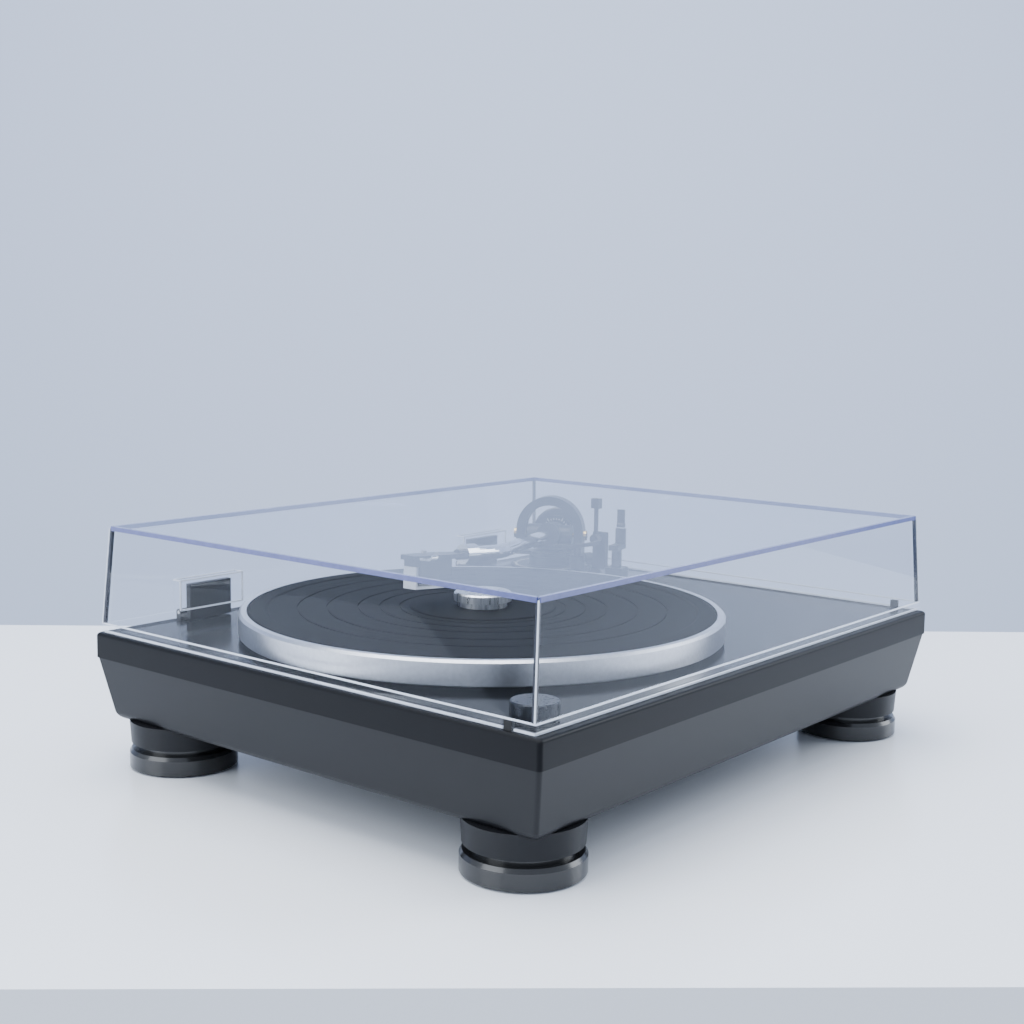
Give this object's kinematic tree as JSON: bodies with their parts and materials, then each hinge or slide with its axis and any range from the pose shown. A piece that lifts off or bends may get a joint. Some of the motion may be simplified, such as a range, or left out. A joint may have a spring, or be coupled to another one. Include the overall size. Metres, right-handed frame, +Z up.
{
  "type": "turntable record player",
  "caption": "Direct-drive record player: tapered metal body on round feet, aluminium platter, curved tonearm and a hinged clear dust cover.",
  "frame": {"origin": "on the floor, below the middle of the body", "axes": "+X to the right along the front, -Y to the front, +Z up"},
  "size_m": [0.45, 0.3684, 0.157],
  "materials": {
    "case_grey": "satin",
    "panel_black": "satin",
    "dark_plastic": "matte",
    "rubber_black": "matte",
    "aluminium": "satin",
    "steel": "satin",
    "chrome": "polished",
    "board_green": "satin",
    "copper": "satin",
    "gold": "polished",
    "acrylic": "polished"
  },
  "bodies": {
    "plinth": {"lower_case": "case_grey", "foot_collars": "case_grey", "upper_case": "case_grey", "top_panel": "panel_black", "bottom_plate": "dark_plastic", "case_screws": "steel", "motor_plate": "steel", "bearing_housing": "copper", "thrust_pad": "dark_plastic", "stator_board": "board_green", "stator_coils": "copper", "main_board": "board_green", "power_board": "board_green", "rotary_switch": "steel", "arm_base": "case_grey", "cue_housing": "case_grey", "arm_rest": "dark_plastic", "hinge_bases": "dark_plastic", "hinge_pins": "steel", "cover_bumpers": "rubber_black", "jack_panel": "dark_plastic", "rca_jacks": "gold", "ground_stud": "steel", "power_inlet": "dark_plastic"},
    "turntable": {"platter": "aluminium", "platter_mat": "rubber_black", "spindle": "chrome", "rotor_magnet": "steel"},
    "adapter": {"record_adapter": "chrome"},
    "lid": {"dust_cover": "acrylic", "hinge_pockets": "acrylic", "hinge_blades": "dark_plastic"},
    "front_left_foot": {"foot_front_left": "dark_plastic", "pad_front_left": "rubber_black"},
    "front_right_foot": {"foot_front_right": "dark_plastic", "pad_front_right": "rubber_black"},
    "rear_left_foot": {"foot_rear_left": "dark_plastic", "pad_rear_left": "rubber_black"},
    "rear_right_foot": {"foot_rear_right": "dark_plastic", "pad_rear_right": "rubber_black"},
    "selector": {"knob": "aluminium"},
    "yoke": {"arm_yoke": "aluminium", "pivot_screws": "gold"},
    "arm": {"arm_tube": "chrome", "pivot_housing": "aluminium", "rear_stub": "steel"},
    "sleeve": {"weight_sleeve": "dark_plastic"},
    "weight": {"counterweight": "chrome"},
    "dial": {"force_dial": "dark_plastic"},
    "collar": {"lock_collar": "chrome"},
    "shell": {"headshell": "aluminium", "cartridge": "dark_plastic", "stylus": "dark_plastic", "finger_lift": "chrome", "cartridge_screws": "steel"},
    "lever": {"cue_lever": "chrome"},
    "lift": {"lift_platform": "rubber_black"},
    "clip": {"rest_clip": "dark_plastic"},
    "antiskate": {"antiskate_dial": "dark_plastic"},
    "nut": {"ground_nut": "steel"}
  },
  "joints": [
    {"name": "platter_spin", "type": "hinge", "parent": "plinth", "child": "turntable", "pos_m": [-0.0542, 0, 0.1], "axis": [0, 0, 1], "continuous": true},
    {"name": "adapter_lift", "type": "slide", "parent": "turntable", "child": "adapter", "axis": [0, 0, 1], "range_m": [0, 0.03]},
    {"name": "cover_hinge", "type": "hinge", "parent": "plinth", "child": "lid", "pos_m": [0, 0.1818, 0.0915], "axis": [-1, 0, 0], "range_deg": [0, 60]},
    {"name": "knob_turn", "type": "hinge", "parent": "plinth", "child": "selector", "pos_m": [-0.198, -0.159, 0.09], "axis": [0, 0, 1], "range_deg": [-90, 0]},
    {"name": "arm_swing", "type": "hinge", "parent": "plinth", "child": "yoke", "pos_m": [0.153, 0.106, 0.121], "axis": [0, 0, 1], "range_deg": [0, 77.4]},
    {"name": "arm_tilt", "type": "hinge", "parent": "yoke", "child": "arm", "pos_m": [0.153, 0.106, 0.121], "axis": [-0.4478, 0.8942, 0], "range_deg": [-2.5, 0]},
    {"name": "weight_turn", "type": "hinge", "parent": "arm", "child": "sleeve", "pos_m": [0.153, 0.106, 0.121], "axis": [0.892, 0.4467, -0.0689], "range_deg": [-360, 1080]},
    {"name": "weight_travel", "type": "slide", "parent": "sleeve", "child": "weight", "axis": [0.892, 0.4467, -0.0689], "range_m": [-0.002, 0.006]},
    {"name": "force_dial_turn", "type": "hinge", "parent": "weight", "child": "dial", "pos_m": [0.153, 0.106, 0.121], "axis": [0.892, 0.4467, -0.0689], "continuous": true},
    {"name": "collar_turn", "type": "hinge", "parent": "arm", "child": "collar", "pos_m": [-0.02416, 0.02687, 0.13439], "axis": [-0.9952, 0.0776, 0.059], "range_deg": [0, 60]},
    {"name": "headshell_pull", "type": "slide", "parent": "arm", "child": "shell", "axis": [-0.9952, 0.0776, 0.059], "range_m": [0, 0.01]},
    {"name": "cue_lever_turn", "type": "hinge", "parent": "plinth", "child": "lever", "pos_m": [0.1794, 0.08, 0.117], "axis": [1, 0, 0], "range_deg": [0, 40]},
    {"name": "lift_travel", "type": "slide", "parent": "plinth", "child": "lift", "axis": [0, 0, 1], "range_m": [-0.002, 0]},
    {"name": "rest_clip_turn", "type": "hinge", "parent": "plinth", "child": "clip", "pos_m": [0.1745, 0.052, 0.1315], "axis": [0.2419, -0.9703, 0], "range_deg": [0, 90]},
    {"name": "antiskate_turn", "type": "hinge", "parent": "plinth", "child": "antiskate", "pos_m": [0.153, 0.106, 0.098], "axis": [0.9397, -0.342, 0], "range_deg": [0, 270]},
    {"name": "ground_nut_turn", "type": "hinge", "parent": "plinth", "child": "nut", "pos_m": [-0.12, 0.175, 0.052], "axis": [0, 1, 0], "range_deg": [0, 720]},
    {"name": "front_left_foot_height", "type": "slide", "parent": "plinth", "child": "front_left_foot", "axis": [0, 0, -1], "range_m": [0, 0.005]},
    {"name": "front_right_foot_height", "type": "slide", "parent": "plinth", "child": "front_right_foot", "axis": [0, 0, -1], "range_m": [0, 0.005]},
    {"name": "rear_left_foot_height", "type": "slide", "parent": "plinth", "child": "rear_left_foot", "axis": [0, 0, -1], "range_m": [0, 0.005]},
    {"name": "rear_right_foot_height", "type": "slide", "parent": "plinth", "child": "rear_right_foot", "axis": [0, 0, -1], "range_m": [0, 0.005]}
  ],
  "couplings": [
    {"joint": "weight_travel", "follows": "weight_turn", "m_per_rad": 0.00031831},
    {"joint": "cue_lever_turn", "follows": "arm_tilt", "ratio": -16},
    {"joint": "lift_travel", "follows": "arm_tilt", "m_per_rad": 0.042}
  ]
}
